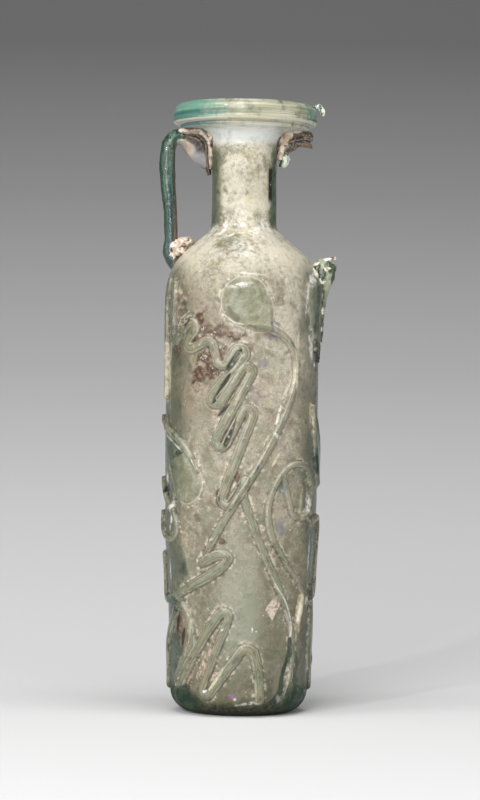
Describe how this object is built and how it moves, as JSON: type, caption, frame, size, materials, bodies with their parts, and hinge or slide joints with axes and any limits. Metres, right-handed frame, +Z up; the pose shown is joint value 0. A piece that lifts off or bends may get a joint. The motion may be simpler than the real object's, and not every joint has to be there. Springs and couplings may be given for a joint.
{
  "type": "glass alabastron",
  "caption": "Slim blown-glass flask with a rounded base, a narrow neck, a folded collar rim, a rod handle, the roots of a broken one, and snake-like trails fused over its wall.",
  "frame": {"origin": "middle of the flat underside, which is also the body's axis", "axes": "+Z up the body's axis to the mouth, -Y the front, -X towards the whole handle, +X towards the broken one"},
  "size_m": [0.0591, 0.0526, 0.2003],
  "materials": {
    "weathered_glass": "pale green blown glass under a mottled grey film, with brown soil in its hollows, blue-green and clear where the glass is thick"
  },
  "bodies": {
    "root": {"flask": "weathered_glass"}
  },
  "joints": []
}
